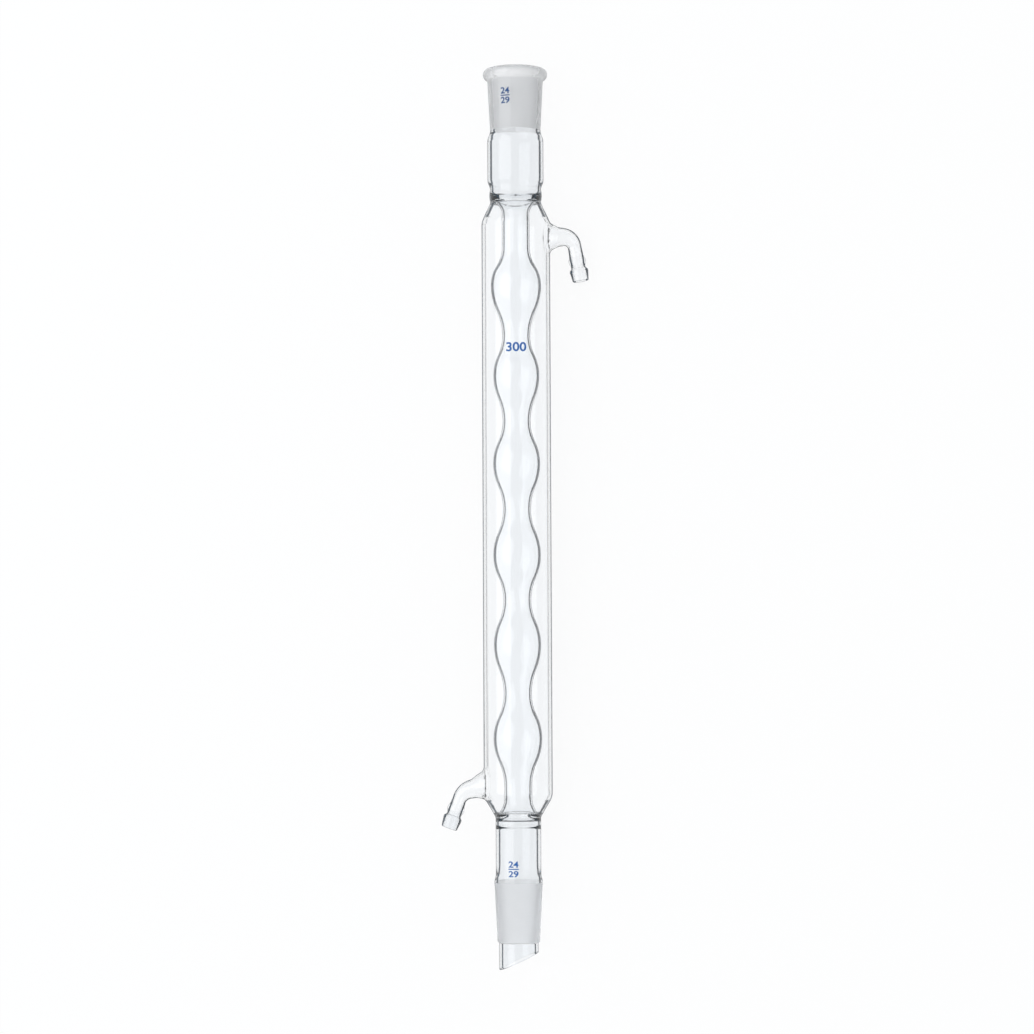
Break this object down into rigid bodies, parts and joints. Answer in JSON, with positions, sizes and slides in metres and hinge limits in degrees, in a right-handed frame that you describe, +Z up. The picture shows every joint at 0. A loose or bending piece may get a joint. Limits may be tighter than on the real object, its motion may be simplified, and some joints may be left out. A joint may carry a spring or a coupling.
{
  "type": "allihn condenser",
  "caption": "Glass reflux condenser: a bulbed vapour tube sealed inside a straight water jacket, with bent barbed hose arms, a ground socket above, and a ground cone and slanted drip tip below.",
  "frame": {"origin": "on the bench straight below the condenser's axis, midway along its length", "axes": "+Y along the axis towards the ground socket, +Z up from the bench, +X to the side of the upper hose arm"},
  "size_m": [0.0688, 0.447, 0.0344],
  "materials": {
    "clear_glass": "clear borosilicate glass, ground to a pale frost on the socket and the cone"
  },
  "bodies": {
    "root": {"allihn_condenser": "clear_glass"}
  },
  "joints": []
}
